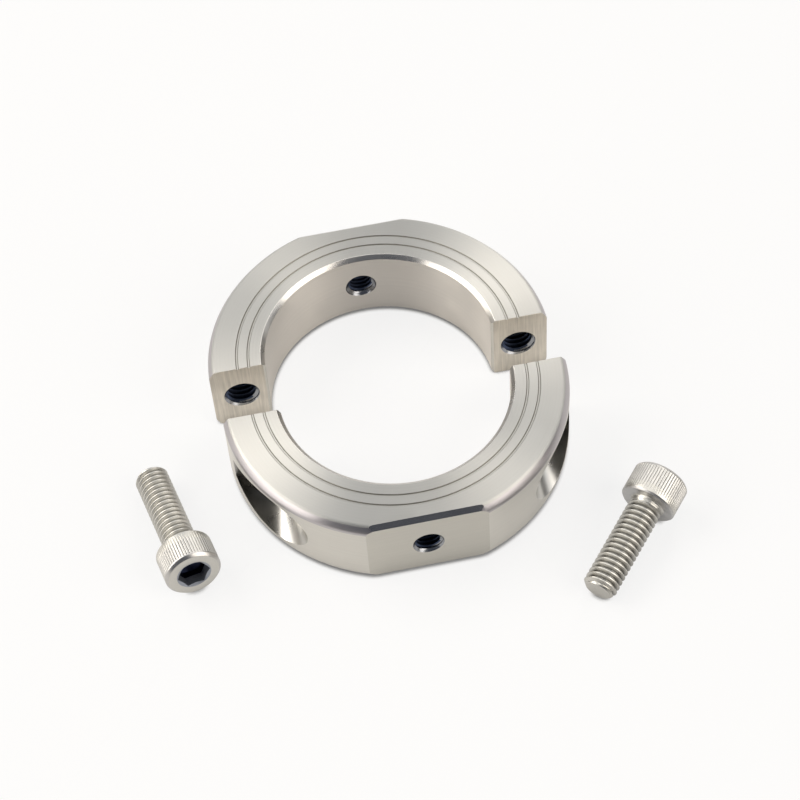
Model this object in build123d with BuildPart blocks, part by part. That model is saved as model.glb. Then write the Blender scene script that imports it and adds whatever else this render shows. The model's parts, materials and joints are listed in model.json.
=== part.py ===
from build123d import *

import os
from math import atan2, cos, degrees, radians, sin, tan

# Two-piece shaft collar, taken apart and laid out on a bench.
# The origin is the centre of the tapped half's bore at mid-width, +Z runs along the bore,
# and the bench is the plane at the bottom of the ring. All lengths are in millimetres.

# Ring that both halves are sawn from
BORE_DIAMETER = 40.0
OUTSIDE_DIAMETER = 60.0
WIDTH = 15.0
SPLIT_GAP = 1.5  # width of the saw cut between the halves
BORE_CHAMFER = 0.7
RIM_CHAMFER_LENGTH = 1.5  # along the axis
RIM_CHAMFER_ANGLE = 30.0  # from the axis, in degrees
SPLIT_EDGE_BREAK = 0.25  # where the saw cut meets the bore

# Flat on the outside of each half
FLAT_DEPTH = 1.85  # below the outside diameter
FLAT_CHAMFER = 0.8

# Turned marking grooves in the top face
GROOVE_INSET = 2.85  # from the bore to the first groove
GROOVE_SPACING = 2.0
GROOVE_COUNT = 2
GROOVE_WIDTH = 0.5
GROOVE_DEPTH = 0.25

# Socket head clamp screw
THREAD_DIAMETER = 5.9
THREAD_LENGTH = 18.0
POINT_CHAMFER = 0.7
HEAD_DIAMETER = 9.8
HEAD_HEIGHT = 5.8
HEAD_TOP_CHAMFER = 0.5
HEAD_SEAT_CHAMFER = 0.25
SOCKET_ACROSS_FLATS = 5.0
SOCKET_DEPTH = 3.0
SOCKET_TIP_ANGLE = 60.0  # slope of the drilled cone below the hexagon, from the screw's axis
KNURL_COUNT = 60
KNURL_DEPTH = 0.14
KNURL_PLAIN_BAND = 1.1  # smooth length of the head next to its seat

# Clamp screw holes
SCREW_INSET = 0.2  # from the middle of the ring's wall in towards the bore
FLANGE_THICKNESS = 5.0  # under the screw head
HEAD_CLEARANCE = 0.3  # round the head in its pocket
SHANK_CLEARANCE = 0.35  # round the thread in the counterbored half
THREAD_CLEARANCE = 0.05  # round the thread in the tapped half
SCREW_HOLE_EDGE = 0.15  # countersink's width round the tapped hole's mouth

# Tapped hole through each flat into the bore
FLAT_HOLE_DIAMETER = 5.0
FLAT_HOLE_EDGE = 0.2  # countersink's width at the flat
BORE_HOLE_EDGE = 0.3  # countersink's width in the bore
HOLE_EDGE_ANGLE = 90.0  # included angle of every countersink

# Places on the bench
FRONT_HALF_SIDE = 1.0  # how far the counterbored half lies to the right
FRONT_HALF_GAP = 8.5  # and in front of its closed place
LEFT_SCREW_PLACE = (-39.5, -27.1)  # middle of the screw's head seat
LEFT_SCREW_HEADING = 101.5  # way that the screw's point faces, in degrees from +X
RIGHT_SCREW_PLACE = (38.8, -35.7)
RIGHT_SCREW_HEADING = -131.5

bore_radius = BORE_DIAMETER / 2
outside_radius = OUTSIDE_DIAMETER / 2
half_width = WIDTH / 2
flat_distance = outside_radius - FLAT_DEPTH
rim_chamfer_width = RIM_CHAMFER_LENGTH * tan(radians(RIM_CHAMFER_ANGLE))
groove_radii = [bore_radius + GROOVE_INSET + GROOVE_SPACING * i for i in range(GROOVE_COUNT)]

thread_radius = THREAD_DIAMETER / 2
head_radius = HEAD_DIAMETER / 2
screw_offset = (bore_radius + outside_radius) / 2 - SCREW_INSET
shank_hole_radius = thread_radius + SHANK_CLEARANCE
pocket_radius = head_radius + HEAD_CLEARANCE
tapped_hole_radius = thread_radius + THREAD_CLEARANCE
flat_hole_radius = FLAT_HOLE_DIAMETER / 2
seat_distance = SPLIT_GAP / 2 + FLANGE_THICKNESS

os.makedirs("parts", exist_ok=True)

# Ring, turned and grooved, with its two flats milled before it is sawn in half
with BuildSketch(Plane.XZ) as ring_section:
    with BuildLine():
        Polyline(
            (bore_radius + BORE_CHAMFER, -half_width),
            (outside_radius - rim_chamfer_width, -half_width),
            (outside_radius, -half_width + RIM_CHAMFER_LENGTH),
            (outside_radius, half_width - RIM_CHAMFER_LENGTH),
            (outside_radius - rim_chamfer_width, half_width),
            (bore_radius + BORE_CHAMFER, half_width),
            (bore_radius, half_width - BORE_CHAMFER),
            (bore_radius, -half_width + BORE_CHAMFER),
            close=True,
        )
    make_face()

with BuildSketch(Plane.XZ) as groove_sections:
    with Locations([(radius, half_width) for radius in groove_radii]):
        Polygon((-GROOVE_WIDTH / 2, 0), (0, -GROOVE_DEPTH), (GROOVE_WIDTH / 2, 0), align=None)

with BuildPart() as ring:
    add(ring_section.sketch)
    revolve(axis=Axis.Z)
    for facing in (-1, 1):
        flat_plane = Plane(origin=(0, facing * flat_distance, 0), z_dir=(0, facing, 0))
        split(bisect_by=flat_plane, keep=Keep.BOTTOM)
    flats = ring.faces().filter_by(Axis.Y)
    chamfer(flats.edges().filter_by(Axis.X), length=FLAT_CHAMFER)
    add(groove_sections.sketch)
    revolve(axis=Axis.Z, mode=Mode.SUBTRACT)
    # One drill goes through both flats and the bore
    for facing in (-1, 1):
        with Locations(Plane(origin=(0, facing * flat_distance, 0), z_dir=(0, facing, 0))):
            CounterSinkHole(
                radius=flat_hole_radius,
                counter_sink_radius=flat_hole_radius + FLAT_HOLE_EDGE,
                depth=flat_distance,
                counter_sink_angle=HOLE_EDGE_ANGLE,
            )
        with Locations(Plane(origin=(0, facing * bore_radius, 0), z_dir=(0, -facing, 0))):
            CounterSinkHole(
                radius=flat_hole_radius,
                counter_sink_radius=flat_hole_radius + BORE_HOLE_EDGE,
                depth=outside_radius - bore_radius,
                counter_sink_angle=HOLE_EDGE_ANGLE,
            )

# Rear half: the clamp screws' thread is tapped right through it
with BuildPart() as tapped_half:
    add(ring.part)
    rear_cut = Plane(origin=(0, SPLIT_GAP / 2, 0), x_dir=(1, 0, 0), z_dir=(0, -1, 0))
    split(bisect_by=rear_cut, keep=Keep.BOTTOM)
    cut_faces = tapped_half.faces().filter_by(Axis.Y).sort_by(Axis.Y)[:2]
    bore_edges = cut_faces.edges().filter_by(Axis.Z).group_by(lambda edge: abs(edge.center().X))[0]
    chamfer(bore_edges, length=SPLIT_EDGE_BREAK)
    with Locations(rear_cut):
        with Locations((-screw_offset, 0), (screw_offset, 0)):
            CounterSinkHole(
                radius=tapped_hole_radius,
                counter_sink_radius=tapped_hole_radius + SCREW_HOLE_EDGE,
                depth=outside_radius,
                counter_sink_angle=HOLE_EDGE_ANGLE,
            )

# Front half: a plain hole for each screw, and a pocket that sinks its head
with BuildPart() as closed_front_half:
    add(ring.part)
    front_cut = Plane(origin=(0, -SPLIT_GAP / 2, 0), x_dir=(1, 0, 0), z_dir=(0, 1, 0))
    split(bisect_by=front_cut, keep=Keep.BOTTOM)
    cut_faces = closed_front_half.faces().filter_by(Axis.Y).sort_by(Axis.Y)[-2:]
    bore_edges = cut_faces.edges().filter_by(Axis.Z).group_by(lambda edge: abs(edge.center().X))[0]
    chamfer(bore_edges, length=SPLIT_EDGE_BREAK)
    seats = Plane(origin=(0, -seat_distance, 0), x_dir=(1, 0, 0), z_dir=(0, -1, 0))
    with Locations(seats):
        with Locations((-screw_offset, 0), (screw_offset, 0)):
            Hole(radius=shank_hole_radius, depth=seat_distance)
    with BuildSketch(seats):
        with Locations((-screw_offset, 0), (screw_offset, 0)):
            Circle(pocket_radius)
    extrude(amount=outside_radius - seat_distance, mode=Mode.SUBTRACT)

# Clamp screw, upright: its seat is on the XY plane and its head is above
with BuildPart() as clamp_screw:
    with BuildSketch(Plane.XZ):
        with BuildLine():
            Polyline(
                (0, -THREAD_LENGTH),
                (thread_radius - POINT_CHAMFER, -THREAD_LENGTH),
                (thread_radius, -THREAD_LENGTH + POINT_CHAMFER),
                (thread_radius, 0),
                (head_radius - HEAD_SEAT_CHAMFER, 0),
                (head_radius, HEAD_SEAT_CHAMFER),
                (head_radius, HEAD_HEIGHT - HEAD_TOP_CHAMFER),
                (head_radius - HEAD_TOP_CHAMFER, HEAD_HEIGHT),
                (0, HEAD_HEIGHT),
                close=True,
            )
        make_face()
    revolve(axis=Axis.Z)
    with BuildSketch(Plane.XY.offset(HEAD_HEIGHT)):
        RegularPolygon(radius=SOCKET_ACROSS_FLATS / 2, side_count=6, major_radius=False)
    extrude(amount=-SOCKET_DEPTH, mode=Mode.SUBTRACT)
    tip_height = SOCKET_ACROSS_FLATS / 2 / tan(radians(SOCKET_TIP_ANGLE))
    with Locations((0, 0, HEAD_HEIGHT - SOCKET_DEPTH)):
        Cone(
            bottom_radius=0,
            top_radius=SOCKET_ACROSS_FLATS / 2,
            height=tip_height,
            align=(Align.CENTER, Align.CENTER, Align.MAX),
            mode=Mode.SUBTRACT,
        )
    # Straight knurl: a ring of shallow V cuts that stop short of the head's seat
    with BuildSketch(Plane.XY.offset(HEAD_HEIGHT)):
        with PolarLocations(head_radius, KNURL_COUNT):
            Polygon((-KNURL_DEPTH, 0), (0, -KNURL_DEPTH), (0, KNURL_DEPTH), align=None)
    extrude(amount=KNURL_PLAIN_BAND - HEAD_HEIGHT, mode=Mode.SUBTRACT)

# Counterbored half, laid in front of the other
front_place = Location((FRONT_HALF_SIDE, -FRONT_HALF_GAP, 0))
with BuildPart() as counterbored_half:
    with Locations(front_place):
        add(closed_front_half.part)

tapped_half.part.label = "tapped_half"
export_step(tapped_half.part, "parts/tapped_half.step")
counterbored_half.part.label = "counterbored_half"
export_step(counterbored_half.part, "parts/counterbored_half.step")

# A screw lies on the edge of its head and the end of its thread, so its axis dips to its point
rest_span = THREAD_LENGTH - POINT_CHAMFER - HEAD_SEAT_CHAMFER
dip = atan2(head_radius - thread_radius, rest_span)
seat_height = head_radius * cos(dip) + HEAD_SEAT_CHAMFER * sin(dip) - half_width
laid_screws = {
    "left_clamp_screw": (LEFT_SCREW_PLACE, LEFT_SCREW_HEADING),
    "right_clamp_screw": (RIGHT_SCREW_PLACE, RIGHT_SCREW_HEADING),
}
for name, (place, heading) in laid_screws.items():
    bench_place = Plane(
        origin=(*place, seat_height),
        x_dir=(-sin(radians(heading)), cos(radians(heading)), 0),
        z_dir=Vector(-cos(dip), 0, sin(dip)).rotate(Axis.Z, heading),
    )
    with BuildPart() as laid_screw:
        with Locations(bench_place):
            add(clamp_screw.part)
    laid_screw.part.label = name
    export_step(laid_screw.part, f"parts/{name}.step")
    print(f"{name}: axis dips {degrees(dip):.2f} degrees, seat {seat_height:.3f} above mid-width")
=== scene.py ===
import json
import logging
from collections.abc import Callable
from dataclasses import dataclass
from enum import Enum
from math import cos, hypot, pi, radians, sin, tan
from typing import NamedTuple

import bmesh
import bpy
from bmesh.types import BMEdge, BMesh
from bpy.types import ID, Material, NodeOutputs, NodeSocket, NodeTree, Object, World
from mathutils import Matrix, Vector


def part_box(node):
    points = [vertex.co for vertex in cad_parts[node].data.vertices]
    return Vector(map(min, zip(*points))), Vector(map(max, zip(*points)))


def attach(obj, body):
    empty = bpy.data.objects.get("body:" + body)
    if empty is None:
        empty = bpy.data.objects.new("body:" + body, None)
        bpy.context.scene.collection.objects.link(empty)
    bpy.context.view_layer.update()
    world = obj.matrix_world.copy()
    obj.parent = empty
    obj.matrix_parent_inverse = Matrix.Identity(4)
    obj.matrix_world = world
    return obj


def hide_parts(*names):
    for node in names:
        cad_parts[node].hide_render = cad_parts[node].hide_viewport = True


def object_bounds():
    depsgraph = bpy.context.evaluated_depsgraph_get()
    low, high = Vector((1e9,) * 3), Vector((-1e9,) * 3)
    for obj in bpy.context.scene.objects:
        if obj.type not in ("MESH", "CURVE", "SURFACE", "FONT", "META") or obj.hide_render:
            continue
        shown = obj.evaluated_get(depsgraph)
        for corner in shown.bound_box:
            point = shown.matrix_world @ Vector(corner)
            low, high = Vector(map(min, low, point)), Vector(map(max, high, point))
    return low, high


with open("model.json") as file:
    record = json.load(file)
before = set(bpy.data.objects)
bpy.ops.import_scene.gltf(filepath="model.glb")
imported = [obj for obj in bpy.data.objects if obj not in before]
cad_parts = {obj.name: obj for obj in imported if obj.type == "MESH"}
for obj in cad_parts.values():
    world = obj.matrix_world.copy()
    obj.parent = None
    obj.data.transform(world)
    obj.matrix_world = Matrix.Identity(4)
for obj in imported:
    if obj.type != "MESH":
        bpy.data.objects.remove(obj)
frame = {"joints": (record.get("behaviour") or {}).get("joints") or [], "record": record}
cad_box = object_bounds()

# Two-piece shaft collar, taken apart: two machined halves and their two clamp screws.
# Meshes are made in millimetres, each about its own axis, and scaled to metres at the end.

log = logging.getLogger("shaft_collar")

MM = 0.001  # one millimetre in metres
SHARP_ANGLE = radians(32)  # edges steeper than this stay crisp
NO_LENGTH = 1e-4  # edges shorter than this, in millimetres, are taken out
ON_PLANE = 1e-5  # points nearer than this to a cutting plane, in millimetres, lie on it
TOOL_REACH = 1.0  # how far a tool stands out of the surface that it enters, in millimetres
ROUNDING_STEPS = 3  # runs that make up a rounded corner
SQUARE, HEXAGON = 4, 6  # steps of a full turn that leave a bar with flat sides
POINT_ANGLE = radians(60)  # half the angle of a drill's point and of a socket's countersink
TAP_SHARES = (0.13, 0.25)  # shares of the pitch that are flat in a tapped hole's roots and on its crests
SPARE_TURNS = 3  # turns of a thread beyond its length, which are shaved off at both ends
SET_BACK = 0.5  # share of a turn by which a thread's first crest starts early
UP = Vector((0, 0, 1))  # the way that every turned shape's axis points

WHITE = (1.0, 1.0, 1.0, 1.0)
STAIN_SCALE = 0.16  # broad faint stains are about 6 mm across
STAIN_LIMITS = {"From Min": 0.3, "From Max": 0.7}  # the stains' usual lowest and highest values
TONE_LIMITS = {"From Min": 0.78, "From Max": 1.22}  # the same for marks and stains together
ROUGHNESS_CHANGE = 0.08  # share by which the stains change the roughness
RING_SLOPE = -0.6  # share of the height that joins the radius in the pattern of turned rings
QUARTER_TURN = 0.25  # draws a highlight out across the marks
SHADE_SAMPLES = 8  # rays that look for what hides the room from the bench


class Lay(Enum):
    """Which way the tool marks of a finish run."""

    CIRCULAR = "round the piece's own axis"
    UPRIGHT = "along the piece's own axis"
    LEVEL = "along the flat"
    NONE = "no direction"


class Joining(Enum):
    """What a tool does to a blank."""

    CUT = "DIFFERENCE"
    WELD = "UNION"


def linear(hex_colour: str) -> tuple[float, float, float, float]:
    """Turns an sRGB hex colour into linear light.

    Args:
        hex_colour: Six hex digits, such as "c8c4ba".

    Returns:
        Red, green, blue and an alpha of one.
    """
    shares = [int(hex_colour[i : i + 2], 16) / 255 for i in (0, 2, 4)]
    return (*(s / 12.92 if s <= 0.04045 else ((s + 0.055) / 1.055) ** 2.4 for s in shares), 1.0)


def add_node(tree: NodeTree, kind: str, inputs: dict | None = None, **settings: object) -> NodeOutputs:
    """Adds a shader node with its settings, values and links.

    Args:
        tree: The node tree that it joins.
        kind: The node's type, without its ShaderNode prefix.
        inputs: Values by input name or number. An output socket is linked.
        **settings: The node's own properties.

    Returns:
        The new node's outputs.
    """
    node = tree.nodes.new("ShaderNode" + kind)
    for name, value in settings.items():
        setattr(node, name, value)
    for key, value in (inputs or {}).items():
        if isinstance(value, NodeSocket):
            tree.links.new(value, node.inputs[key])
        else:
            node.inputs[key].default_value = value
    return node.outputs


def empty_tree(owner: Material | World) -> NodeTree:
    """Switches on the nodes of a material or world and clears them.

    Args:
        owner: The material or world.

    Returns:
        Its empty node tree.
    """
    owner.use_nodes = True
    owner.node_tree.nodes.clear()
    return owner.node_tree


@dataclass(frozen=True)
class SteelFinish:
    """One machined or formed surface of austenitic stainless steel, which is warm grey."""

    name: str  # how the surface was made, which begins the material's name
    colour: str  # sRGB hex of the steel as that surface shows it
    roughness: float  # how far the surface scatters a reflection
    spacing: float  # distance between marks, in millimetres
    depth: float  # height of the marks, in micrometres
    shade: float  # share by which marks and stains darken the steel
    lay: Lay = Lay.NONE  # the way that the marks run
    anisotropy: float = 0.0  # how much further it scatters across its marks
    run: float = 1.0  # length over which a straight mark fades, in millimetres
    valley: tuple[float, float] = (0.0, 0.0)  # where the painted shade starts and stops lightening, mm from the axis
    valley_shade: float = 0.0  # share by which the painted shade darkens the valleys; at 0 nothing is shaded
    valley_across: tuple[float, float, float] = (1.0, 1.0, 0.0)  # the axes that the distance is measured over

    def material(self) -> Material:
        """Builds the finish as a node material, with its marks in real millimetres.

        Returns:
            The material.
        """
        made = bpy.data.materials.new(self.name + "_stainless_steel")
        tree = empty_tree(made)
        place = add_node(tree, "TexCoord")["Object"]
        in_mm = add_node(tree, "VectorMath", {0: place, "Scale": 1 / MM}, operation="SCALE")[0]
        pattern = {"Vector": self._mark_place(tree, in_mm), "Scale": 1.0, "Detail": 2.0, "Roughness": 0.6}
        marks = add_node(tree, "TexNoise", pattern)["Fac"]
        # Stains keep the steel from looking like one flat colour
        stains = add_node(tree, "TexNoise", {"Vector": in_mm, "Scale": STAIN_SCALE, "Detail": 3.0})["Fac"]
        mixed = add_node(tree, "Math", {0: marks, 1: stains}, operation="ADD")[0]
        tone = add_node(tree, "MapRange", {"Value": mixed, **TONE_LIMITS})[0]
        own = linear(self.colour)
        darker = (*(c * (1 - self.shade) for c in own[:3]), 1.0)
        colour = add_node(tree, "Mix", {"Factor": tone, "A": darker, "B": own}, data_type="RGBA")["Result"]
        # Some finishes get painted shade in their valleys
        if self.valley_shade > 0:
            colour = self._shade_valleys(tree, in_mm, colour)
        change = self.roughness * ROUGHNESS_CHANGE
        ends = {"To Min": self.roughness - change, "To Max": self.roughness + change}
        rough = add_node(tree, "MapRange", {"Value": stains, **STAIN_LIMITS, **ends})[0]
        bump = add_node(tree, "Bump", {"Height": marks, "Distance": self.depth * MM * MM})[0]
        inputs = {"Base Color": colour, "Metallic": 1.0, "Roughness": rough, "Normal": bump}
        if self.lay is not Lay.NONE:
            inputs["Anisotropic"] = self.anisotropy
            inputs["Anisotropic Rotation"] = QUARTER_TURN
            inputs["Tangent"] = self._mark_way(tree, place)
        shader = add_node(tree, "BsdfPrincipled", inputs)[0]
        add_node(tree, "OutputMaterial", {"Surface": shader})
        return made

    def _shade_valleys(self, tree: NodeTree, in_mm: NodeSocket, colour: NodeSocket) -> NodeSocket:
        """Paints shade into the colour in the low places that light hardly reaches.

        Args:
            tree: The material's node tree.
            in_mm: The place on the piece, in millimetres.
            colour: The colour of the steel.

        Returns:
            The output that holds the shaded colour.
        """
        across = add_node(tree, "VectorMath", {0: in_mm, 1: self.valley_across}, operation="MULTIPLY")[0]
        away = add_node(tree, "VectorMath", {0: across}, operation="LENGTH")["Value"]
        ends = {"From Min": self.valley[0], "From Max": self.valley[1], "To Min": 1 - self.valley_shade}
        share = add_node(tree, "MapRange", {"Value": away, **ends})[0]
        return add_node(tree, "VectorMath", {0: colour, "Scale": share}, operation="SCALE")[0]

    def _mark_place(self, tree: NodeTree, in_mm: NodeSocket) -> NodeSocket:
        """Gives the pattern's own coordinates, in which a mark is one unit wide.

        Args:
            tree: The material's node tree.
            in_mm: The place on the piece, in millimetres.

        Returns:
            The output that holds the pattern coordinates.
        """
        across, along = 1 / self.spacing, 1 / self.run
        if self.lay is not Lay.CIRCULAR:
            scale = {
                Lay.UPRIGHT: (across, across, along),
                Lay.LEVEL: (along, along, across),
                Lay.NONE: (across, across, across),
            }[self.lay]
            return add_node(tree, "VectorMath", {0: in_mm, 1: scale}, operation="MULTIPLY")[0]
        # Radius less a part of the height changes across the marks on faces, walls and chamfers alike
        flat = add_node(tree, "VectorMath", {0: in_mm, 1: (across, across, 0)}, operation="MULTIPLY")[0]
        radius = add_node(tree, "VectorMath", {0: flat}, operation="LENGTH")["Value"]
        height = add_node(tree, "SeparateXYZ", {0: in_mm})["Z"]
        terms = {0: height, 1: RING_SLOPE * across, 2: radius}
        turned = add_node(tree, "Math", terms, operation="MULTIPLY_ADD")[0]
        return add_node(tree, "CombineXYZ", {0: turned})[0]

    def _mark_way(self, tree: NodeTree, place: NodeSocket) -> NodeSocket:
        """Gives the way that the marks run at each point.

        Args:
            tree: The material's node tree.
            place: The place on the piece.

        Returns:
            The output that holds the direction.
        """
        if self.lay is Lay.CIRCULAR:
            return add_node(tree, "VectorMath", {0: UP, 1: place}, operation="CROSS_PRODUCT")[0]
        straight = (0, 0, 1) if self.lay is Lay.UPRIGHT else (1, 0, 0)
        return add_node(tree, "CombineXYZ", dict(enumerate(straight)))[0]


# Facing, turning and boring leave fine rings that draw light out into a fan. A real feed is near
# 0.1 mm a turn, which is too fine for the picture, so the rings are drawn about three times as coarse
FACED = SteelFinish("faced", "c1c0bc", 0.50, 0.3, 1.2, 0.05, Lay.CIRCULAR, 0.88)
TURNED = SteelFinish("turned", "d4d1ca", 0.36, 0.3, 1.0, 0.05, Lay.CIRCULAR, 0.55)
BORED = SteelFinish("bored", "d2cdc6", 0.42, 0.35, 0.5, 0.05, Lay.CIRCULAR, 0.80)
# An end mill leaves the flats satin, with marks along its feed
MILLED = SteelFinish("milled", "c7c4bc", 0.34, 0.3, 0.8, 0.05, Lay.LEVEL, 0.50, 9)
# A slitting saw leaves dull uneven scores across the wall, with dark and light streaks
SAWN = SteelFinish("sawn", "dfd8cc", 0.46, 0.28, 9.0, 0.24, Lay.UPRIGHT, 0.55, 9)
# A counterbore's wall is smooth and bright, and painted darker towards its seat as the shade deep in the
# pocket
COUNTERBORED = SteelFinish(
    "counterbored", "d8d6d1", 0.29, 2.0, 0.3, 0.04, valley=(7.2, 12.5), valley_shade=0.75,
    valley_across=(0, 1, 0)
)
# Chamfers are cut last and lightly. They are smoother than the faces beside them, so they mirror the
# dark and bright sides of a room as crisp bands
CHAMFERED = SteelFinish("chamfered", "b8b4b6", 0.31, 0.3, 0.5, 0.04, Lay.CIRCULAR, 0.4)
EASED = SteelFinish("eased_bore_edge", "d4d1cc", 0.28, 0.3, 0.5, 0.04, Lay.CIRCULAR, 0.6)
MILLED_CHAMFER = SteelFinish("milled_chamfer", "bcbab8", 0.22, 0.3, 0.5, 0.04, Lay.LEVEL, 0.3, 9)
# A grooving tool leaves steep walls, painted dark as the shade in the narrow grooves
GROOVED = SteelFinish("grooved", "98968f", 0.50, 0.5, 0.5, 0.10)
# Threads deep in a hole are painted blue-black as shade, and so is a drilled hole
TAPPED = SteelFinish("oiled_tapped", "485268", 0.30, 0.3, 1.5, 0.30)
DRILLED = SteelFinish("drilled", "22252b", 0.32, 0.5, 1.5, 0.20)
# The pocket's seat and the mouths of the tapped holes are cut clean and stay bright, without painted shade
SPOTFACED = SteelFinish("spotfaced", "bcbab6", 0.30, 0.5, 1.0, 0.10)
COUNTERSUNK = SteelFinish("countersunk", "9a9ca0", 0.24, 0.5, 0.8, 0.06)

# Rolled threads are smooth, and painted grey in their roots as shade
ROLLED = SteelFinish("rolled_thread", "cbc9c3", 0.38, 0.35, 2.0, 0.10, valley=(2.36, 2.78), valley_shade=0.58)
# A cold formed head keeps the satin skin of its die
FORMED = SteelFinish("cold_formed", "cccac4", 0.36, 0.25, 3.0, 0.08)
# Knurling presses straight grooves between bright ribs; the grooves are painted darker as shade
KNURLED = SteelFinish("knurled", "cfcdc9", 0.36, 0.3, 1.5, 0.06, valley=(4.80, 4.88), valley_shade=0.5)
# A turned bevel round the head's top mirrors the dark and bright sides of a room
BEVELLED = SteelFinish("bevelled", "c2c0bd", 0.30, 0.4, 0.6, 0.06)
# The bearing face and its edge are trimmed after forming; their slightly darker, cooler grey is painted shade
# from under the head
TRIMMED = SteelFinish("trimmed", "c6c5c4", 0.40, 0.4, 0.6, 0.06)
# A punched hexagon is dull grey at its mouth and painted blue-black in its depths as shade
PUNCHED = SteelFinish("punched", "a4a9b2", 0.50, 0.3, 1.5, 0.20)
SOCKET_DEPTHS = SteelFinish("lubricant_black", "30354a", 0.30, 0.3, 1.5, 0.20)

HALF_FINISHES = (
    FACED, TURNED, BORED, MILLED, SAWN, COUNTERBORED, CHAMFERED,
    EASED, MILLED_CHAMFER, GROOVED, TAPPED, DRILLED, SPOTFACED, COUNTERSUNK,
)
SCREW_FINISHES = (ROLLED, FORMED, KNURLED, BEVELLED, TRIMMED, PUNCHED, SOCKET_DEPTHS)

Section = list[tuple[float, float, SteelFinish]]  # radius, height and the finish of the run that follows


class Corner(NamedTuple):
    """A corner of a turned section."""

    radius: float
    height: float
    rounding: float  # radius of the corner's own rounding
    finish: SteelFinish  # of the run that follows the corner


def number(finish: SteelFinish) -> int:
    """Gives a finish's place among the materials of its pieces."""
    return (SCREW_FINISHES if finish in SCREW_FINISHES else HALF_FINISHES).index(finish)


def mounts() -> dict[str, dict]:
    """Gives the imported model's mounts by name."""
    return {mount["name"]: mount for mount in frame["record"]["mounts"]}


def rounded(corners: list[Corner]) -> Section:
    """Rounds the corners of a closed section.

    Args:
        corners: The section's corners, in order.

    Returns:
        The rounded section.
    """
    points = []
    for i, corner in enumerate(corners):
        here = Vector(corner[:2])
        if corner.rounding == 0:
            points.append((*here, corner.finish))
            continue
        back = (Vector(corners[i - 1][:2]) - here).normalized()
        on = (Vector(corners[(i + 1) % len(corners)][:2]) - here).normalized()
        half_angle = back.angle(on) / 2
        centre = here + (back + on).normalized() * corner.rounding / sin(half_angle)
        start = here + back * corner.rounding / tan(half_angle) - centre
        sweep = (pi - 2 * half_angle) * (1 if back.cross(on) < 0 else -1)
        for step in range(ROUNDING_STEPS + 1):
            point = centre + Matrix.Rotation(sweep * step / ROUNDING_STEPS, 2) @ start
            points.append((*point, corner.finish))
    return points


def revolved(section: Section, around: int, ripple: Callable[[float, float], float] | None = None) -> BMesh:
    """Turns a section about the Z axis. A ring's section stays clear of the axis; a solid's ends on it.

    Args:
        section: The section's points, in order.
        around: How many steps make a full turn.
        ripple: Optional change of radius, from height and angle.

    Returns:
        The solid as a bmesh.
    """
    mesh = bmesh.new()
    columns = []
    for i in range(around):
        angle = 2 * pi * i / around
        column = []
        for radius, height, _ in section:
            if radius == 0 and i > 0:
                column.append(columns[0][len(column)])
                continue
            at = radius + (ripple(height, angle) if ripple else 0.0)
            column.append(mesh.verts.new((at * cos(angle), at * sin(angle), height)))
        columns.append(column)
    for i in range(around):
        here, beside = columns[i], columns[(i + 1) % around]
        for j, (radius, _, finish) in enumerate(section):
            k = (j + 1) % len(section)
            if radius == 0 and section[k][0] == 0:
                continue
            ring = dict.fromkeys((here[j], here[k], beside[k], beside[j]))
            mesh.faces.new(list(ring)).material_index = number(finish)
    bmesh.ops.recalc_face_normals(mesh, faces=mesh.faces)
    return mesh


def shave(mesh: BMesh, at: Vector, outward: Vector, finish: SteelFinish) -> None:
    """Cuts off what lies beyond a plane and closes the solid with a flat face.

    Args:
        mesh: The solid.
        at: A point on the plane.
        outward: The way that the removed side lies.
        finish: The flat face's finish.
    """
    everything = [*mesh.verts, *mesh.edges, *mesh.faces]
    cut = bmesh.ops.bisect_plane(
        mesh, geom=everything, dist=ON_PLANE, plane_co=at, plane_no=outward, clear_outer=True
    )
    edges = [item for item in cut["geom_cut"] if isinstance(item, BMEdge)]
    bmesh.ops.edgeloop_fill(mesh, edges=edges, mat_nr=number(finish))


def link_object(name: str, data: ID) -> Object:
    """Makes an object of its data and puts it in the scene.

    Args:
        name: The object's name.
        data: Its mesh, light or camera.

    Returns:
        The object.
    """
    made = bpy.data.objects.new(name, data)
    bpy.context.scene.collection.objects.link(made)
    return made


def make_object(name: str, mesh: BMesh) -> Object:
    """Makes an object of a finished bmesh.

    Args:
        name: The object's name.
        mesh: The bmesh, which is freed.

    Returns:
        The object, linked to the scene.
    """
    bmesh.ops.recalc_face_normals(mesh, faces=mesh.faces)
    data = bpy.data.meshes.new(name)
    mesh.to_mesh(data)
    mesh.free()
    return link_object(name, data)


def combine(blank: Object, tool: Object, joining: Joining) -> None:
    """Cuts a tool out of a blank, or joins it on, and removes the tool. Faces keep their finishes.

    Args:
        blank: The object that is changed.
        tool: The closed mesh that cuts or joins.
        joining: Which of the two it does.
    """
    modifier = blank.modifiers.new("combine", "BOOLEAN")
    modifier.operation = joining.value
    modifier.solver = "EXACT"
    modifier.material_mode = "INDEX"
    modifier.object = tool
    graph = bpy.context.evaluated_depsgraph_get()
    carved = bpy.data.meshes.new_from_object(blank.evaluated_get(graph))
    blank.modifiers.clear()
    old = blank.data
    blank.data = carved
    bpy.data.meshes.remove(old)
    bpy.data.meshes.remove(tool.data)


def clean(piece: Object) -> None:
    """Cuts every face into triangles and takes out those without any area, which cutting leaves behind.

    Args:
        piece: The piece, in millimetres.
    """
    mesh = bmesh.new()
    mesh.from_mesh(piece.data)
    bmesh.ops.triangulate(mesh, faces=mesh.faces)
    bmesh.ops.dissolve_degenerate(mesh, dist=NO_LENGTH, edges=mesh.edges)
    mesh.to_mesh(piece.data)
    mesh.free()


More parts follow.
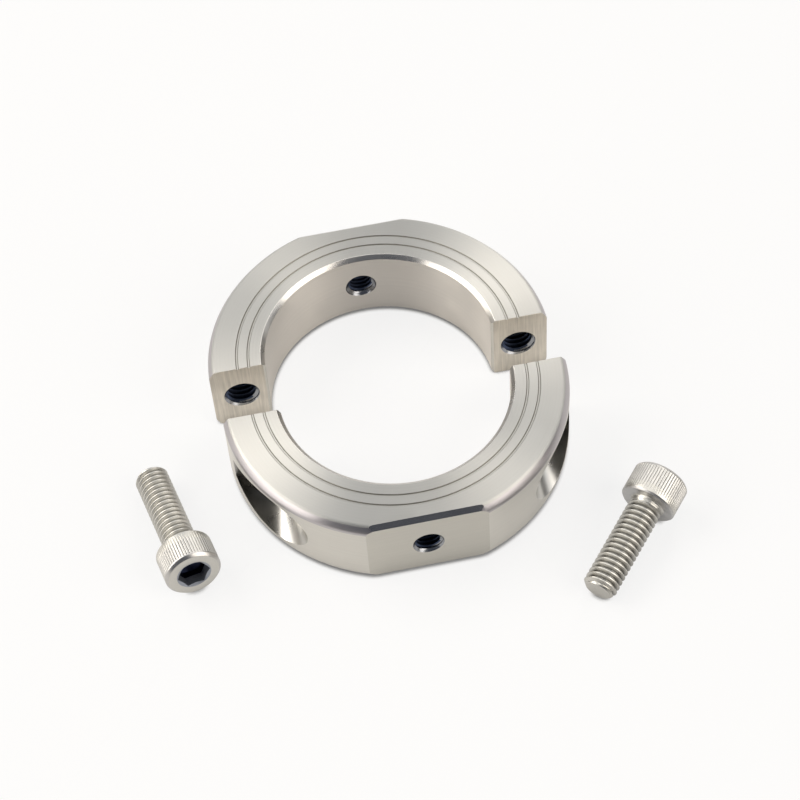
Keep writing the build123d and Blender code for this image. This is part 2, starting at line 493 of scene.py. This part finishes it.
def dress(piece: Object, materials: list[Material]) -> None:
    """Cleans a piece, scales it to metres and gives it its materials and its smooth and crisp edges.

    Args:
        piece: The piece, in millimetres.
        materials: One material for each finish number.
    """
    clean(piece)
    piece.data.transform(Matrix.Scale(MM, 4))
    for material in materials:
        piece.data.materials.append(material)
    piece.data.shade_smooth()
    piece.data.set_sharp_from_angle(angle=SHARP_ANGLE)
    weighting = piece.modifiers.new("weighted_normals", "WEIGHTED_NORMAL")
    weighting.keep_sharp = True


@dataclass(frozen=True)
class Thread:
    """A right-hand screw thread, in millimetres."""

    outside_radius: float  # over a screw's crests, or in a hole's roots
    root_radius: float  # in a screw's roots, or over a hole's crests
    pitch: float  # advance for each turn
    crest_share: float  # share of the pitch that is flat at the outside radius
    root_share: float  # share of the pitch that is flat at the root radius

    def profile(self) -> list[tuple[float, float]]:
        """Gives the points of one pitch of the thread, with its flanks cut in two.

        Returns:
            Each point's share of the pitch and its radius.
        """
        outside, root, crest = self.outside_radius, self.root_radius, self.crest_share
        flank = (1 - crest - self.root_share) / 2
        middle = (outside + root) / 2
        falling = [(0.0, outside), (crest, outside), (crest + flank / 2, middle), (crest + flank, root)]
        return [*falling, (crest + flank + self.root_share, root), (1 - flank / 2, middle)]

    def rod(
        self,
        low: float,
        high: float,
        shape: Callable[[float, float], float],
        finish: Callable[[float], SteelFinish],
        around: int,
    ) -> BMesh:
        """Builds a threaded rod along Z, whose rows of points follow the helix.

        Args:
            low: Height of the rod's lower end.
            high: Height of its upper end.
            shape: Gives the final radius from the height and the thread's own radius there.
            finish: Gives the finish from the height.
            around: How many steps make a full turn.

        Returns:
            The closed rod as a bmesh.
        """
        mesh = bmesh.new()
        profile = self.profile()
        turns = int((high - low) / self.pitch) + SPARE_TURNS
        columns = []
        for i in range(around):
            angle = 2 * pi * i / around
            column = []
            for turn in range(-1, turns):
                for share, radius in profile:
                    height = low + self.pitch * (turn + share - SET_BACK + i / around)
                    at = shape(height, radius)
                    column.append(mesh.verts.new((at * cos(angle), at * sin(angle), height)))
            columns.append(column)
        for i in range(around):
            here, beside = columns[i], columns[(i + 1) % around]
            # The last column meets the first one turn further up
            skip = len(profile) if i == around - 1 else 0
            for j in range(len(here) - 1 - len(profile)):
                run = (here[j], beside[j + skip], beside[j + skip + 1], here[j + 1])
                mesh.faces.new(run).material_index = number(finish(here[j].co.z))
        bmesh.ops.triangulate(mesh, faces=mesh.faces)
        shave(mesh, UP * low, -UP, finish(low))
        shave(mesh, UP * high, UP, finish(high))
        return mesh


@dataclass(frozen=True)
class RingSizes:
    """The turned ring that both halves are sawn from, in millimetres."""

    bore_radius: float
    outside_radius: float  # of the rim
    half_width: float
    cut_distance: float  # from the bore's axis to a half's sawn faces
    flat_distance: float  # from the bore's axis to the milled flat
    flat_hole_radius: float  # in the roots of the thread through the flat
    bore_chamfer: float = 0.7  # at both ends of the bore
    rim_chamfer_length: float = 1.42  # how far the rim's chamfers go down its wall
    rim_chamfer_angle: float = radians(33)  # angle between them and the wall
    rim_top_rounding: float = 0.65  # where they meet the faces
    rim_side_rounding: float = 1.3  # where they meet the wall
    bore_rounding: float = 0.15  # of the bore's upper chamfer
    edge_rounding: float = 0.08  # of the bore's lower edges
    groove_radii: tuple[float, float] = (22.85, 24.85)
    groove_width: float = 0.5  # at the top
    groove_floor: float = 0.22  # width at the bottom
    groove_depth: float = 0.2
    flat_chamfer: float = 0.8  # along both sides of the flat
    saw_edge_break: float = 0.07  # how far the sawn faces' outer edges are broken
    bore_edge_break: float = 0.4  # how far their edges along the bore are broken
    screw_offset: float = 24.8  # from the bore's axis to a clamp screw's
    flange_thickness: float = 5.0  # steel between a sawn face and the seat of the screw's head
    bright_mouth: float = 0.75  # how deep a tapped hole stays bright, before its painted shade begins

    @classmethod
    def from_frame(cls) -> "RingSizes":
        """Reads the ring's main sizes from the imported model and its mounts.

        Returns:
            The sizes.
        """
        low, high = (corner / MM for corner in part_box("tapped_half"))
        return cls(
            bore_radius=mounts()["tapped_half_shaft_seat"]["dims"]["r_mm"],
            outside_radius=hypot(high.x, low.y),
            half_width=high.z,
            cut_distance=low.y,
            flat_distance=high.y,
            flat_hole_radius=mounts()["tapped_half_flat_thread"]["dims"]["r_mm"],
        )

    def section(self) -> list[Corner]:
        """Gives the corners of the ring's section, anticlockwise from the lower edge of the bore.

        Returns:
            The corners.
        """
        top, fine, soft = self.half_width, self.edge_rounding, self.bore_rounding
        bore, rim, chamfer = self.bore_radius, self.outside_radius, self.rim_chamfer_length
        shoulder = rim - chamfer * tan(self.rim_chamfer_angle)
        floor = top - self.groove_depth
        grooves = [
            Corner(radius + side * width / 2, height, 0, finish)
            for radius in reversed(self.groove_radii)
            for side, width, height, finish in (
                (1, self.groove_width, top, GROOVED),
                (1, self.groove_floor, floor, FACED),
                (-1, self.groove_floor, floor, GROOVED),
                (-1, self.groove_width, top, FACED),
            )
        ]
        return [
            Corner(bore + self.bore_chamfer, -top, fine, FACED),
            Corner(shoulder, -top, self.rim_top_rounding, CHAMFERED),
            Corner(rim, -top + chamfer, self.rim_side_rounding, TURNED),
            Corner(rim, top - chamfer, self.rim_side_rounding, CHAMFERED),
            Corner(shoulder, top, self.rim_top_rounding, FACED),
            *grooves,
            Corner(bore + self.bore_chamfer, top, soft, EASED),
            Corner(bore, top - self.bore_chamfer, soft, BORED),
            Corner(bore, -top + self.bore_chamfer, fine, EASED),
        ]


@dataclass
class CollarHalf:
    """One half of the collar, machined from the ring."""

    node: str  # the model's node that the half stands for
    body: str  # the body that it rides on
    seat_mount: str  # the mount on its bore's axis, which places it
    facing: int  # the side of the axis that its flat is on, 1 or -1 along Y
    ring: RingSizes
    around: int = 480  # steps round the ring
    hole_around: int = 56  # steps round a tapped hole
    flat_thread_height: float = 0.43  # in millimetres, as all below
    flat_thread_pitch: float = 0.8
    flat_tap_run: float = 1.5  # how far the flat's tap comes out into the bore
    flat_hole_edge: float = 0.2  # width of the hole's countersink in the flat
    bore_hole_edge: float = 0.3  # width of its countersink in the bore

    def blank(self) -> Object:
        """Turns the ring, saws it and mills its flat.

        Returns:
            The half without its holes, about its own axis.
        """
        ring, facing = self.ring, self.facing
        mesh = revolved(rounded(ring.section()), self.around)
        away = Vector((0, -facing, 0))
        shave(mesh, Vector((0, facing * ring.cut_distance, 0)), away, SAWN)
        sawn_edge = Vector((0, facing * (ring.cut_distance + ring.saw_edge_break), 0))
        for side in (-1, 1):
            face, rim = Vector((0, 0, side)), Vector((side, 0, 0))
            for outward, reach in ((face, ring.half_width), (rim, ring.outside_radius)):
                shave(mesh, sawn_edge + outward * reach, (outward + away).normalized(), SAWN)
        shave(mesh, Vector((0, facing * ring.flat_distance, 0)), Vector((0, facing, 0)), MILLED)
        for side in (-1, 1):
            edge = Vector((0, facing * (ring.flat_distance - ring.flat_chamfer), side * ring.half_width))
            shave(mesh, edge, Vector((0, facing, side)).normalized(), MILLED_CHAMFER)
        return make_object(self.node + "_machined", mesh)

    def bore_edge_files(self) -> list[Object]:
        """Makes two square bars that stand corner-on and break the sawn faces' edges along the bore.

        Returns:
            The bars.
        """
        ring = self.ring
        size, reach = ring.bore_edge_break, ring.half_width + TOOL_REACH
        section = [(0, -reach, MILLED), (size, -reach, MILLED), (size, reach, MILLED), (0, reach, MILLED)]
        across = (ring.bore_radius**2 - ring.cut_distance**2) ** 0.5
        tools = []
        for side in (-1, 1):
            at = Vector((side * across, self.facing * ring.cut_distance, 0))
            tools.append(self._placed(revolved(section, SQUARE), at, UP))
        return tools

    def flat_hole(self) -> Object:
        """Makes the tap that goes through the flat into the bore, with a countersink at both ends.

        Returns:
            The tap.
        """
        ring = self.ring
        radius = ring.flat_hole_radius
        wall = ring.flat_distance - ring.bore_radius
        thread = Thread(radius, radius - self.flat_thread_height, self.flat_thread_pitch, *TAP_SHARES)
        mouth, mouth_in_bore = radius + self.flat_hole_edge, radius + self.bore_hole_edge

        def shape(height: float, thread_radius: float) -> float:
            """Opens the thread out into its two countersinks."""
            inner = min(mouth_in_bore, mouth_in_bore - (height + wall))
            return max(thread_radius, mouth + height, inner)

        def finish(height: float) -> SteelFinish:
            """Keeps both mouths bright and paints shade on the thread between them."""
            return TAPPED if ring.bright_mouth - wall < height < -ring.bright_mouth else COUNTERSUNK

        rod = thread.rod(-wall - self.flat_tap_run, TOOL_REACH, shape, finish, self.hole_around)
        outward = Vector((0, self.facing, 0))
        return self._placed(rod, outward * ring.flat_distance, outward)

    def _placed(self, mesh: BMesh, at: Vector, way: Vector) -> Object:
        """Stands a tool made along Z at a point, with its top facing a given way.

        Args:
            mesh: The tool.
            at: Where its origin goes.
            way: Where its Z axis points.

        Returns:
            The tool as an object.
        """
        turn = UP.rotation_difference(way).to_matrix().to_4x4()
        mesh.transform(Matrix.Translation(at) @ turn)
        return make_object("tool", mesh)

    def screw_holes(self) -> list[Object]:
        """Makes the tools of this half's clamp screw holes."""
        raise NotImplementedError

    def build(self, materials: list[Material]) -> Object:
        """Machines the half, dresses it and puts it in its place in the frame.

        Args:
            materials: The halves' materials, in the order of their finishes.

        Returns:
            The finished piece.
        """
        piece = self.blank()
        for tool in (self.flat_hole(), *self.screw_holes(), *self.bore_edge_files()):
            combine(piece, tool, Joining.CUT)
        dress(piece, materials)
        piece.location = mounts()[self.seat_mount]["pos_m"]
        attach(piece, self.body)
        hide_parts(self.node)
        return piece


@dataclass
class TappedHalf(CollarHalf):
    """The rear half, tapped right through for the clamp screws."""

    thread: Thread = Thread(3.0, 2.48, 1.0, *TAP_SHARES)
    mouth_edge: float = 0.15  # width of the countersink at each hole's mouth, in millimetres
    tap_share: float = 0.66  # depth of the taps as a share of the outside radius; they come out of the rim

    def screw_holes(self) -> list[Object]:
        """Makes the two clamp screw taps.

        Returns:
            The taps.
        """
        mouth = self.thread.outside_radius + self.mouth_edge
        tools = []
        for side in (-1, 1):
            rod = self.thread.rod(
                -self.ring.outside_radius * self.tap_share,
                TOOL_REACH,
                lambda height, radius: max(radius, mouth + height),
                # The thread below the bright mouth gets painted shade
                lambda height: TAPPED if height < -self.ring.bright_mouth else COUNTERSUNK,
                self.hole_around,
            )
            at = Vector((side * self.ring.screw_offset, self.facing * self.ring.cut_distance, 0))
            tools.append(self._placed(rod, at, Vector((0, -self.facing, 0))))
        return tools


@dataclass
class CounterboredHalf(CollarHalf):
    """The front half, with a plain hole for each clamp screw and a pocket that sinks its head."""

    shank_hole_radius: float = 3.3  # in millimetres, as all below
    pocket_radius: float = 5.2
    pocket_rounding: float = 0.12  # at the foot of the wall
    pocket_around: int = 144  # steps round a pocket

    def screw_holes(self) -> list[Object]:
        """Makes the two stepped drills, each of a plain hole and a head pocket.

        Returns:
            The drills.
        """
        ring = self.ring
        seat = ring.cut_distance + ring.flange_thickness
        section = [
            Corner(0, 0, 0, DRILLED),
            Corner(self.shank_hole_radius, 0, 0, DRILLED),
            Corner(self.shank_hole_radius, seat, 0, SPOTFACED),
            Corner(self.pocket_radius, seat, self.pocket_rounding, COUNTERBORED),
            Corner(self.pocket_radius, ring.outside_radius, 0, COUNTERBORED),
            Corner(0, ring.outside_radius, 0, COUNTERBORED),
        ]
        tools = []
        for side in (-1, 1):
            drill = revolved(rounded(section), self.pocket_around)
            at = Vector((side * ring.screw_offset, 0, 0))
            tools.append(self._placed(drill, at, Vector((0, self.facing, 0))))
        return tools


@dataclass
class ClampScrew:
    """A socket head cap screw, lying on its head and its point, in millimetres."""

    node: str  # the model's node that the screw stands for
    body: str  # the body that it rides on
    joint: str  # the joint whose place and axis are its seat and its head's direction
    thread: Thread = Thread(2.95, 2.36, 1.0, 0.2, 0.12)
    length: float = 18.0  # under the head
    point_radius: float = 2.25  # of the flat end
    point_height: float = 0.6  # of the bevel above it
    neck_radius: float = 2.85  # where the thread has run out
    neck_length: float = 0.6  # and that of the run-out below it
    neck_fillet: float = 0.4  # between the neck and the head
    shank_root: float = 0.3  # how far the shank reaches into the head
    head_radius: float = 4.9
    head_height: float = 5.8
    head_top_chamfer: float = 0.5
    head_seat_chamfer: float = 0.3  # round the bearing face
    head_roundings: tuple[float, ...] = (0.06, 0.1, 0.3, 0.08)  # of both chamfers' edges, going up
    knurl_count: int = 60  # grooves
    knurl_steps: int = 8  # steps that make one rib and groove
    knurl_depth: float = 0.12
    knurl_groove_share: float = 0.36  # share of the way between two ribs that a groove takes
    knurl_start: float = 1.7  # from the bearing face to the knurl
    knurl_margin: float = 0.2  # from the knurl to the top bevel
    knurl_ramp: float = 0.15  # length over which the grooves get their depth
    socket_across_flats: float = 5.0
    socket_depth: float = 3.0
    socket_bright_depth: float = 1.9  # how deep the hexagon's walls stay grey, above the painted shade of its depths
    drill_overlap: float = 0.5  # how far the drill is led into the hexagon
    countersink_edge: float = 0.12  # how far the mouth opens past the hexagon's corners
    countersink_depth: float = 0.28  # how deep the mouth's cone reaches
    thread_around: int = 72  # steps of a full turn, as both below
    drill_around: int = 48
    countersink_around: int = 96

    def shank(self) -> BMesh:
        """Builds the threaded shank below the head, with its point and the neck where the thread runs out.

        Returns:
            The shank.
        """

        def shape(height: float, radius: float) -> float:
            """Fades the thread into the neck, rounds the neck's foot and bevels the point.

            Args:
                height: Height of the place, below 0 under the head.
                radius: The thread's own radius there.

            Returns:
                The shank's radius.
            """
            fade = min(max((height + self.neck_length * 2) / self.neck_length, 0.0), 1.0)
            # The fade starts and ends gently
            fade = fade * fade * (3 - 2 * fade)
            radius += (self.neck_radius - radius) * fade
            into_fillet = min(max(height + self.neck_fillet, 0.0), self.neck_fillet)
            radius += self.neck_fillet - (self.neck_fillet**2 - into_fillet**2) ** 0.5
            return min(radius, self.point_radius + height + self.length)

        def finish(height: float) -> SteelFinish:
            """Keeps the point clear of the grey of the thread's roots."""
            return FORMED if height < self.point_height - self.length else ROLLED

        return self.thread.rod(-self.length, self.shank_root, shape, finish, self.thread_around)

    def head(self) -> BMesh:
        """Builds the knurled head above its bearing face.

        Returns:
            The head.
        """
        radius, height, top = self.head_radius, self.head_height, self.head_top_chamfer
        seat_inner, seat_outer, bevel_outer, bevel_inner = self.head_roundings
        knurl_end = height - top - self.knurl_margin
        section = rounded(
            [
                Corner(0, 0, 0, TRIMMED),
                Corner(radius - self.head_seat_chamfer, 0, seat_inner, TRIMMED),
                Corner(radius, self.head_seat_chamfer, seat_outer, FORMED),
                Corner(radius, self.knurl_start, 0, KNURLED),
                Corner(radius, self.knurl_start + self.knurl_ramp, 0, KNURLED),
                Corner(radius, knurl_end - self.knurl_ramp, 0, KNURLED),
                Corner(radius, knurl_end, 0, FORMED),
                Corner(radius, height - top, bevel_outer, BEVELLED),
                Corner(radius - top, height, bevel_inner, FORMED),
                Corner(0, height, 0, FORMED),
            ]
        )

        def ripple(at_height: float, angle: float) -> float:
            """Presses the knurl's grooves into the plain wall.

            Args:
                at_height: Height of the place above the bearing face.
                angle: Its angle round the head.

            Returns:
                The change of radius.
            """
            if not self.knurl_start < at_height < knurl_end:
                return 0.0
            across = abs((angle * self.knurl_count / (2 * pi)) % 1 - 0.5) * 2
            return -self.knurl_depth * max(0.0, 1 - across / self.knurl_groove_share)

        return revolved(section, self.knurl_count * self.knurl_steps, ripple)

    def socket_tools(self) -> list[BMesh]:
        """Makes the hexagon punch, the drill whose tip shows below it, and the mouth's countersink.

        Returns:
            The tools, in the order of their use.
        """
        apothem, top = self.socket_across_flats / 2, self.head_height
        corner = apothem / cos(pi / HEXAGON)
        floor, above = top - self.socket_depth, top + TOOL_REACH
        bright = top - self.socket_bright_depth
        tip, led = floor - apothem / tan(POINT_ANGLE), floor + self.drill_overlap
        mouth, below = corner + self.countersink_edge, top - self.countersink_depth
        narrow = mouth - self.countersink_depth * tan(POINT_ANGLE)
        wide = mouth + TOOL_REACH * tan(POINT_ANGLE)
        # The socket's floor, its lower walls and the drill's tip get painted shade
        flat_end = [(0, floor, SOCKET_DEPTHS), (corner, floor, SOCKET_DEPTHS)]
        punch = [*flat_end, (corner, bright, PUNCHED), (corner, above, PUNCHED), (0, above, PUNCHED)]
        drill_points = ((0, tip), (apothem, floor), (apothem, led), (0, led))
        drill = [(*point, SOCKET_DEPTHS) for point in drill_points]
        countersink_points = ((0, below), (narrow, below), (wide, above), (0, above))
        countersink = [(*point, PUNCHED) for point in countersink_points]
        tools = ((punch, HEXAGON), (drill, self.drill_around), (countersink, self.countersink_around))
        return [revolved(section, around) for section, around in tools]

    def build(self, materials: list[Material]) -> Object:
        """Forms the screw, dresses it and lays it in its place in the frame.

        Args:
            materials: The screws' materials, in the order of their finishes.

        Returns:
            The finished piece.
        """
        piece = make_object(self.node + "_formed", self.head())
        combine(piece, make_object("tool", self.shank()), Joining.WELD)
        for tool in self.socket_tools():
            combine(piece, make_object("tool", tool), Joining.CUT)
        dress(piece, materials)
        joint = next(joint for joint in frame["joints"] if joint["name"] == self.joint)
        way = Vector(joint["axis"]).normalized()
        level = Vector((-way.y, way.x, 0)).normalized()
        turn = Matrix((level, way.cross(level), way)).transposed().to_4x4()
        piece.matrix_world = Matrix.Translation(joint["pos_m"]) @ turn
        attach(piece, self.body)
        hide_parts(self.node)
        return piece


def direction(azimuth: float, elevation: float) -> Vector:
    """Gives the way to a place in the room.

    Args:
        azimuth: Its direction, in degrees from +X.
        elevation: Its height above the bench, in degrees.

    Returns:
        The way, one unit long.
    """
    turn, rise = radians(azimuth), radians(elevation)
    return Vector((cos(rise) * cos(turn), cos(rise) * sin(turn), sin(rise)))


@dataclass(frozen=True)
class Card:
    """A card that only reflections show, bent round the object like part of a ball."""

    name: str
    azimuth: float  # middle of the card, in degrees from +X
    width: float  # its width, in degrees
    low: float  # its lower edge's elevation, in degrees
    high: float  # its upper edge's elevation, in degrees
    colour: str  # sRGB hex
    distance: float = 1.6  # how far off it stands, in metres
    steps: int = 12  # squares along each side of its mesh

    def build(self) -> None:
        """Builds the card, hidden from the camera, from diffuse light and from shadows."""
        mesh = bmesh.new()
        rows = []
        for i in range(self.steps + 1):
            rise = self.low + (self.high - self.low) * i / self.steps
            row = []
            for j in range(self.steps + 1):
                turn = self.azimuth + self.width * (j / self.steps - 0.5)
                row.append(mesh.verts.new(direction(turn, rise) * self.distance))
            rows.append(row)
        for lower, upper in zip(rows, rows[1:]):
            for j in range(self.steps):
                mesh.faces.new((lower[j], lower[j + 1], upper[j + 1], upper[j]))
        card = make_object(self.name, mesh)
        paint = bpy.data.materials.new(self.name)
        tree = empty_tree(paint)
        glow = add_node(tree, "Emission", {"Color": linear(self.colour)})[0]
        add_node(tree, "OutputMaterial", {"Surface": glow})
        card.data.materials.append(paint)
        card.visible_camera = False
        card.visible_diffuse = False
        card.visible_shadow = False


@dataclass(frozen=True)
class Lamp:
    """A soft box that faces the object."""

    name: str
    azimuth: float  # its direction, in degrees from +X
    elevation: float  # its height above the bench, in degrees
    width: float  # its width, in metres
    height: float  # its height, in metres
    radiance: float  # how bright its face looks; 1 is white
    colour: str = "fff8ee"  # sRGB hex of its light
    distance: float = 1.2  # how far off it stands, in metres

    def build(self) -> None:
        """Builds the lamp."""
        light = bpy.data.lights.new(self.name, "AREA")
        light.shape = "RECTANGLE"
        light.size = self.width
        light.size_y = self.height
        light.energy = self.radiance * pi * self.width * self.height
        light.color = linear(self.colour)[:3]
        lamp = link_object(self.name, light)
        way = direction(self.azimuth, self.elevation)
        lamp.location = way * self.distance
        lamp.rotation_mode = "QUATERNION"
        lamp.rotation_quaternion = way.to_track_quat("Z", "Y")
        lamp.visible_camera = False


class FootShade(NamedTuple):
    """How the bench is painted darker at a piece's foot, as shade where hardly any light gets in."""

    reach: float  # how near a surface has to be to hide part of the room, in metres
    darkest: float  # share of the room that is open where the bench is darkest
    lightest: float  # share that is open where the bench keeps its own tone
    tone: float  # what is left of that tone where it is darkest


@dataclass(frozen=True)
class Studio:
    """The pale bench, the white surroundings, the lamps and the cards."""

    floor_colour: str = "f8f8f8"  # sRGB hex of the bench's paper
    floor_size: float = 8.0  # length of the bench's sides, in metres
    floor_glow: float = 0.8  # how much of the bench the camera sees as plain white and not as lit paper
    mirrored_glow: float = 0.4  # the same in reflections
    contact_line: FootShade = FootShade(0.0011, 0.42, 0.8, 0.18)  # painted shade that the camera sees under an edge
    mirrored_shadow: FootShade = FootShade(0.004, 0.3, 0.95, 0.45)  # painted shade that the steel mirrors at its foot
    dim_side: tuple[float, float, float] = (0.25, -0.97, 0.0)  # the way that the mirrored bench gets darker
    dim_from: float = 0.050  # where it starts to, in metres from the middle
    dim_to: float = 0.075  # where it is as dark as it gets
    dim_share: float = 0.25  # what is left of its tone there
    fill: float = 0.2  # brightness of the surroundings as light on the object
    lamps: tuple[Lamp, ...] = (
        Lamp("left_soft_box", 184, 21, 1.36, 0.92, 2.1),
        Lamp("left_back_soft_box", 150, 46, 0.95, 0.58, 3.3),
        Lamp("right_strip_box", -36, 31, 0.85, 1.2, 2.6),
        Lamp("right_back_strip_box", 57, 54, 0.43, 1.9, 1.3),
    )
    cards: tuple[Card, ...] = (
        Card("front_dark_card", -89, 112, 0, 69, "595d66"),
        Card("back_grey_card", 101, 34, 1, 72, "dadcdf"),
        Card("left_low_grey_card", 145, 42, 0, 21, "393938"),
        Card("right_low_grey_card", 34, 42, 0, 24, "545454"),
        Card("right_low_dark_card", -12, 42, 0, 21, "303036"),
        Card("grey_ceiling_card", 0, 360, 63, 90, "e6e8ea", 1.8),
    )

    def build(self) -> None:
        """Builds the studio round the object, which stands on the bench."""
        self._world()
        self._floor()
        for item in (*self.lamps, *self.cards):
            item.build()

    @staticmethod
    def _shown_white(tree: NodeTree) -> NodeSocket:
        """Tells what is only looked at from what lights the object.

        Args:
            tree: The node tree that asks.

        Returns:
            An output of 1 where the camera, a reflection or glass looks, and 0 for the light on the object.
        """
        path = add_node(tree, "LightPath")
        seen = {0: path["Is Camera Ray"], 1: path["Is Glossy Ray"]}
        seen = {0: add_node(tree, "Math", seen, operation="ADD")[0], 1: path["Is Transmission Ray"]}
        return add_node(tree, "Math", seen, operation="ADD", use_clamp=True)[0]

    def _world(self) -> None:
        """Makes the surroundings white to look at and soft as light."""
        world = bpy.data.worlds.new("white_surroundings")
        tree = empty_tree(world)
        strength = add_node(tree, "MapRange", {"Value": self._shown_white(tree), "To Min": self.fill})[0]
        sky = add_node(tree, "Background", {"Color": WHITE, "Strength": strength})[0]
        add_node(tree, "OutputWorld", {"Surface": sky})
        # Only rays that leave the object or the bench find the surroundings, so each kind sees its strength
        world.cycles.sampling_method = "NONE"
        bpy.context.scene.world = world

    def _floor(self) -> None:
        """Lays the pale bench, which keeps the object's real shadow and gets painted shade at each piece's
        foot.
        """
        mesh = bmesh.new()
        bmesh.ops.create_grid(mesh, size=self.floor_size / 2)
        floor = make_object("pale_bench", mesh)
        floor.location.z = cad_box[0].z
        paint = bpy.data.materials.new("matt_white_paper")
        tree = empty_tree(paint)
        camera = add_node(tree, "LightPath")["Is Camera Ray"]
        ends = {"To Min": self.mirrored_glow, "To Max": self.floor_glow}
        glow_share = add_node(tree, "MapRange", {"Value": camera, **ends})[0]
        glowing = add_node(tree, "Math", {0: self._shown_white(tree), 1: glow_share}, operation="MULTIPLY")[0]
        # Ambient occlusion paints shade into the bench's colour and glow near each piece's foot
        shades = []
        for foot in (self.mirrored_shadow, self.contact_line):
            room = add_node(tree, "AmbientOcclusion", {"Distance": foot.reach}, samples=SHADE_SAMPLES)["AO"]
            ends = {"From Min": foot.darkest, "From Max": foot.lightest, "To Min": foot.tone}
            shades.append(add_node(tree, "MapRange", {"Value": room, **ends})[0])
        painted_foot_shade = add_node(tree, "Mix", {"Factor": camera, "A": shades[0], "B": shades[1]})[0]
        # The front of the room is dark, so the bench that the steel mirrors there is painted darker; the
        # camera sees it undimmed
        place = add_node(tree, "TexCoord")["Object"]
        ahead = add_node(tree, "VectorMath", {0: place, 1: self.dim_side}, operation="DOT_PRODUCT")["Value"]
        ends = {"From Min": self.dim_from, "From Max": self.dim_to, "To Min": 1.0, "To Max": self.dim_share}
        falling = add_node(tree, "MapRange", {"Value": ahead, **ends})[0]
        dimmed = add_node(tree, "Math", {0: falling, 1: camera}, operation="MAXIMUM")[0]
        tone = add_node(tree, "Math", {0: painted_foot_shade, 1: dimmed}, operation="MULTIPLY")[0]
        share = add_node(tree, "Math", {0: glowing, 1: tone}, operation="MULTIPLY")[0]
        own = linear(self.floor_colour)[:3]
        shaded = add_node(tree, "VectorMath", {0: own, "Scale": tone}, operation="SCALE")[0]
        paper = add_node(tree, "BsdfDiffuse", {"Color": shaded})[0]
        glow = add_node(tree, "Emission", {"Color": WHITE})[0]
        surface = add_node(tree, "MixShader", {0: share, 1: paper, 2: glow})[0]
        add_node(tree, "OutputMaterial", {"Surface": surface})
        floor.data.materials.append(paint)


@dataclass(frozen=True)
class PhotoCamera:
    """The camera at the photograph's place, worked out from the edges seen in it."""

    aim: tuple[float, float, float] = (2.73, -0.985, -7.95)  # the point in the picture's middle, in mm
    azimuth: float = 7.406  # the way that the camera stands from it, in degrees from -Y towards -X
    elevation: float = 54.153  # its height above the bench, in degrees
    roll: float = 4.598  # its lean, in degrees
    distance: float = 410.04  # how far off it is, in millimetres
    focal_pixels: float = 2294.5  # its focal length, in pixels of the picture
    picture_width: int = 800  # in pixels
    sensor_width: float = 36.0  # in millimetres
    nearest: float = 0.01  # nearest distance that it sees, in metres

    def build(self) -> None:
        """Builds the camera and makes it the scene's own."""
        data = bpy.data.cameras.new("camera")
        data.sensor_width = self.sensor_width
        data.lens = data.sensor_width * self.focal_pixels / self.picture_width
        data.clip_start = self.nearest
        camera = link_object("camera", data)
        turn, rise, lean = radians(self.azimuth), radians(self.elevation), radians(self.roll)
        back = Vector((-sin(turn) * cos(rise), -cos(turn) * cos(rise), sin(rise)))
        right = Vector((cos(turn), -sin(turn), 0))
        up = back.cross(right)
        leaning_right = right * cos(lean) - up * sin(lean)
        leaning_up = right * sin(lean) + up * cos(lean)
        axes = Matrix((leaning_right, leaning_up, back)).transposed().to_4x4()
        camera.matrix_world = Matrix.Translation((Vector(self.aim) + back * self.distance) * MM) @ axes
        bpy.context.scene.camera = camera


def main() -> None:
    """Builds the collar piece by piece, then the studio and the camera."""
    logging.basicConfig(level=logging.INFO, format="%(name)s: %(message)s")
    bpy.context.scene.view_settings.view_transform = "Standard"
    ring = RingSizes.from_frame()
    halves = (
        TappedHalf("tapped_half", "rear_half", "tapped_half_shaft_seat", 1, ring),
        CounterboredHalf("counterbored_half", "front_half", "counterbored_half_shaft_seat", -1, ring),
    )
    screws = (
        ClampScrew("left_clamp_screw", "left_screw", "left_screw_turn"),
        ClampScrew("right_clamp_screw", "right_screw", "right_screw_turn"),
    )
    for makers, finishes in ((halves, HALF_FINISHES), (screws, SCREW_FINISHES)):
        materials = [finish.material() for finish in finishes]
        for maker in makers:
            piece = maker.build(materials)
            log.info("%s: %d faces, on %s", piece.name, len(piece.data.polygons), maker.body)
    Studio().build()
    PhotoCamera().build()


if __name__ == "__main__":
    main()
